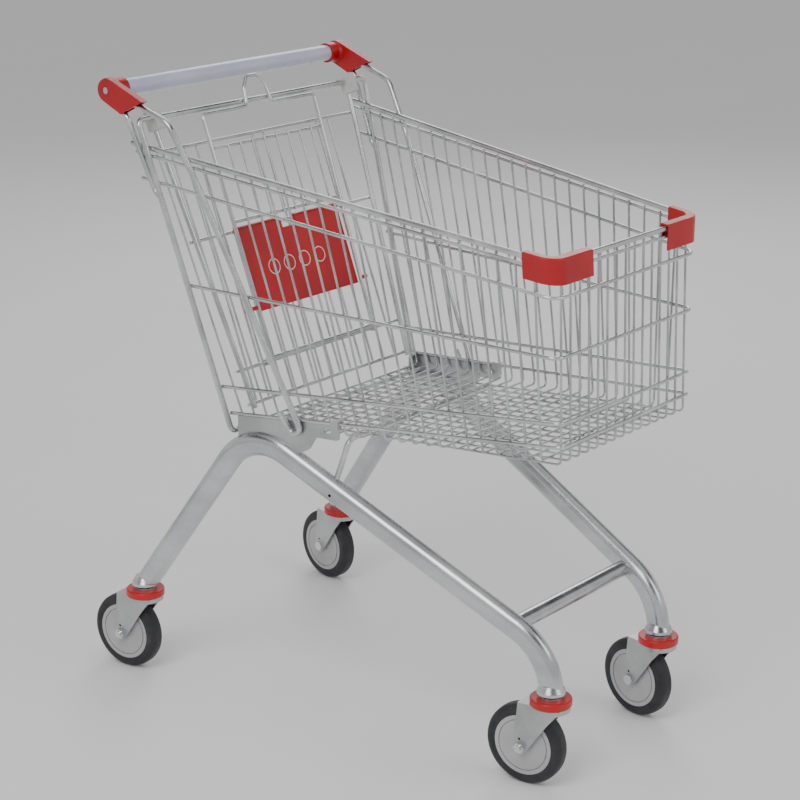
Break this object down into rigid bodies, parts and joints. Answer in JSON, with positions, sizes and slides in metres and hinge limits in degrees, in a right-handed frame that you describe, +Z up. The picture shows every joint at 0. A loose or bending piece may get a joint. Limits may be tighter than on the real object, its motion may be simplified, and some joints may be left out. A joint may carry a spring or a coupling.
{
  "type": "shopping cart",
  "caption": "Nesting shopping cart with a tapered wire basket, swinging rear gate, folding child seat, tube chassis, push handle and swivel castors.",
  "frame": {"origin": "on the floor at the middle of the overall length and width", "axes": "+X towards the nose of the basket, +Y to the cart's left, +Z up; the cart is mirror-symmetric about Y=0 apart from its fasteners"},
  "size_m": [0.8712, 0.551, 0.973],
  "materials": {
    "steel_wire": "bright zinc-plated wire under clear lacquer",
    "chassis_steel": "zinc-plated tube under clear lacquer, satin",
    "fork_steel": "pressed zinc-plated sheet",
    "bolt_steel": "zinc-plated fastener",
    "red_plastic": "moulded red plastic, semi-gloss",
    "seal_plastic": "red plastic, semi-gloss",
    "handle_skin": "pale plastic sleeve on the handle tube",
    "hinge_plastic": "light grey moulded plastic",
    "hub_plastic": "grey moulded nylon",
    "tyre_rubber": "dark grey rubber tread"
  },
  "bodies": {
    "cart_frame": {"chassis_tube_right": "chassis_steel", "chassis_tube_left": "chassis_steel", "castor_cups": "chassis_steel", "castor_stems": "bolt_steel", "castor_races": "bolt_steel", "front_cross_tube": "chassis_steel", "basket_support_rod": "steel_wire", "basket_bracket_right": "chassis_steel", "basket_bracket_left": "chassis_steel", "basket_rim_upper": "steel_wire", "basket_rim_lower": "steel_wire", "basket_side_rings": "steel_wire", "basket_side_mesh_right": "steel_wire", "basket_side_mesh_left": "steel_wire", "basket_floor_cross_wires": "steel_wire", "basket_front_mesh": "steel_wire", "basket_floor_long_wires": "steel_wire", "basket_mesh_bends": "steel_wire", "basket_floor_rear_bar": "steel_wire", "rear_post_right": "steel_wire", "rear_post_left": "steel_wire", "handle_rods_right": "steel_wire", "handle_rods_left": "steel_wire", "handle_tube": "handle_skin", "handle_caps": "red_plastic", "handle_screws": "bolt_steel", "bumper_right": "red_plastic", "bumper_left": "red_plastic"},
    "gate": {"gate_hinge_blocks": "hinge_plastic", "gate_top_bar": "steel_wire", "gate_stiles": "steel_wire", "gate_rails": "steel_wire", "gate_mesh": "steel_wire"},
    "seat_back": {"seat_frame": "steel_wire", "seat_bottom_bar": "steel_wire", "seat_grid_rails": "steel_wire", "seat_grid_mesh": "steel_wire", "seat_hooks": "steel_wire", "seat_stop_lugs": "red_plastic"},
    "seat_board": {"seat_plate": "red_plastic"},
    "swivel_rear_right": {"castor_rear_right_fork": "fork_steel", "castor_rear_right_seal": "seal_plastic", "castor_rear_right_axle": "bolt_steel"},
    "wheel_rear_right": {"castor_rear_right_tyre": "tyre_rubber", "castor_rear_right_hub": "hub_plastic"},
    "swivel_rear_left": {"castor_rear_left_fork": "fork_steel", "castor_rear_left_seal": "seal_plastic", "castor_rear_left_axle": "bolt_steel"},
    "wheel_rear_left": {"castor_rear_left_tyre": "tyre_rubber", "castor_rear_left_hub": "hub_plastic"},
    "swivel_front_right": {"castor_front_right_fork": "fork_steel", "castor_front_right_seal": "seal_plastic", "castor_front_right_axle": "bolt_steel"},
    "wheel_front_right": {"castor_front_right_tyre": "tyre_rubber", "castor_front_right_hub": "hub_plastic"},
    "swivel_front_left": {"castor_front_left_fork": "fork_steel", "castor_front_left_seal": "seal_plastic", "castor_front_left_axle": "bolt_steel"},
    "wheel_front_left": {"castor_front_left_tyre": "tyre_rubber", "castor_front_left_hub": "hub_plastic"}
  },
  "joints": [
    {"name": "gate_swing", "type": "hinge", "parent": "cart_frame", "child": "gate", "pos_m": [-0.29142, 0, 0.916], "axis": [0, -1, 0], "range_deg": [0, 60]},
    {"name": "seat_fold", "type": "hinge", "parent": "gate", "child": "seat_back", "pos_m": [-0.1619, 0, 0.53405], "axis": [0, 1, 0], "range_deg": [0, 36]},
    {"name": "board_fold", "type": "hinge", "parent": "gate", "child": "seat_board", "pos_m": [-0.23634, 0, 0.72828], "axis": [0, -1, 0], "range_deg": [0, 65]},
    {"name": "swivel_rear_right", "type": "hinge", "parent": "cart_frame", "child": "swivel_rear_right", "pos_m": [-0.33542, -0.24, 0.14], "axis": [0, 0, 1], "continuous": true},
    {"name": "swivel_rear_left", "type": "hinge", "parent": "cart_frame", "child": "swivel_rear_left", "pos_m": [-0.33542, 0.24, 0.14], "axis": [0, 0, 1], "continuous": true},
    {"name": "swivel_front_right", "type": "hinge", "parent": "cart_frame", "child": "swivel_front_right", "pos_m": [0.40458, -0.14, 0.14], "axis": [0, 0, 1], "continuous": true},
    {"name": "swivel_front_left", "type": "hinge", "parent": "cart_frame", "child": "swivel_front_left", "pos_m": [0.40458, 0.14, 0.14], "axis": [0, 0, 1], "continuous": true},
    {"name": "roll_rear_right", "type": "hinge", "parent": "swivel_rear_right", "child": "wheel_rear_right", "pos_m": [-0.37308, -0.24509, 0.0625], "axis": [-0.1339, 0.991, 0], "continuous": true},
    {"name": "roll_rear_left", "type": "hinge", "parent": "swivel_rear_left", "child": "wheel_rear_left", "pos_m": [-0.37308, 0.24509, 0.0625], "axis": [0.1339, 0.991, 0], "continuous": true},
    {"name": "roll_front_right", "type": "hinge", "parent": "swivel_front_right", "child": "wheel_front_right", "pos_m": [0.36692, -0.14509, 0.0625], "axis": [-0.1339, 0.991, 0], "continuous": true},
    {"name": "roll_front_left", "type": "hinge", "parent": "swivel_front_left", "child": "wheel_front_left", "pos_m": [0.36692, 0.14509, 0.0625], "axis": [0.1339, 0.991, 0], "continuous": true}
  ],
  "couplings": [
    {"joint": "board_fold", "follows": "seat_fold", "ratio": 1.8}
  ]
}
